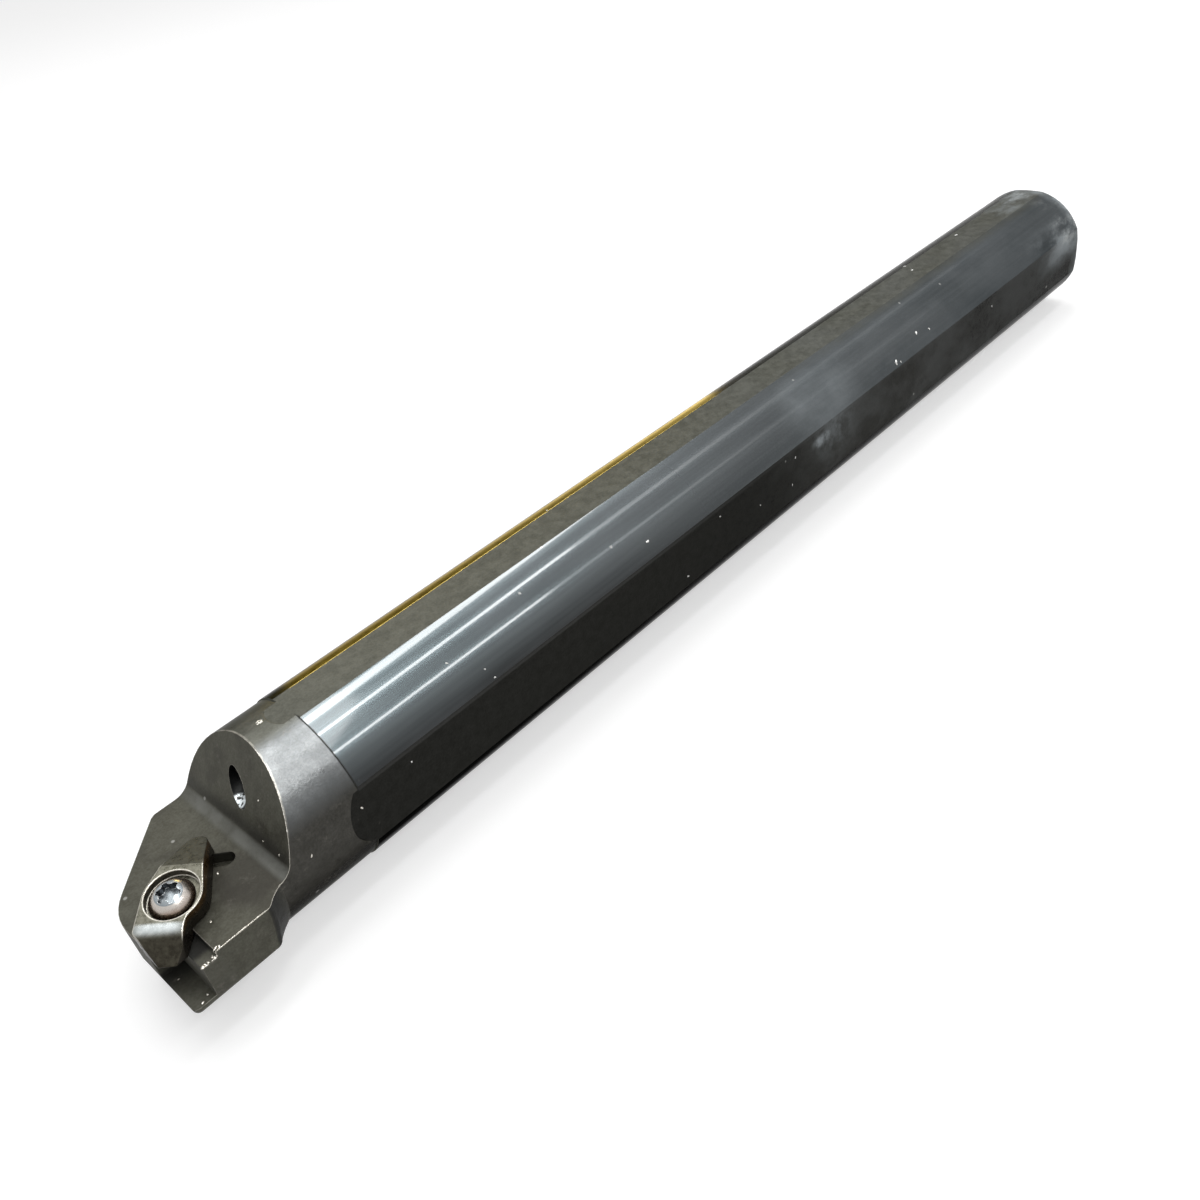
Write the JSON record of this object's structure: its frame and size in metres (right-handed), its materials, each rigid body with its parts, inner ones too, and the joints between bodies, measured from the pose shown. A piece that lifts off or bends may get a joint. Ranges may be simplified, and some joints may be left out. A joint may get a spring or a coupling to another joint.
{
  "type": "boring bar",
  "caption": "Right-hand indexable boring bar with a round coolant-through shank, clamping flats, a flat head platform, an empty insert pocket and a screw-down finger clamp.",
  "frame": {"origin": "centre of the rear end face, on the bar's axis, at the mouth of the coolant port", "axes": "+X along the bar from the cutting head to the rear end; +Z square to the head platform, out of it; -Y is the cutting side"},
  "size_m": [0.3558, 0.0407, 0.0376],
  "materials": {
    "black_oxide_steel": "black oxide on ground and milled steel, oiled, worn bright on the corners",
    "clamp_steel": "satin hardened steel, browned on the sides, bright on the edges",
    "screw_steel": "satin steel with a faint bronze tint"
  },
  "bodies": {
    "bar": {"bar_body": "black_oxide_steel"},
    "clamp_body": {"clamp": "clamp_steel"},
    "screw_body": {"clamp_screw": "screw_steel"}
  },
  "joints": [
    {"name": "clamp_lift", "type": "slide", "parent": "bar", "child": "clamp_body", "axis": [-0.056, -0.168, 0.9842], "range_m": [0, 0.0024]},
    {"name": "screw_turn", "type": "hinge", "parent": "clamp_body", "child": "screw_body", "pos_m": [-0.34745, -0.00853, 0.00604], "axis": [-0.056, -0.168, 0.9842], "range_deg": [0, 1080]}
  ],
  "couplings": [
    {"joint": "screw_turn", "follows": "clamp_lift", "rad_per_m": 7854}
  ]
}
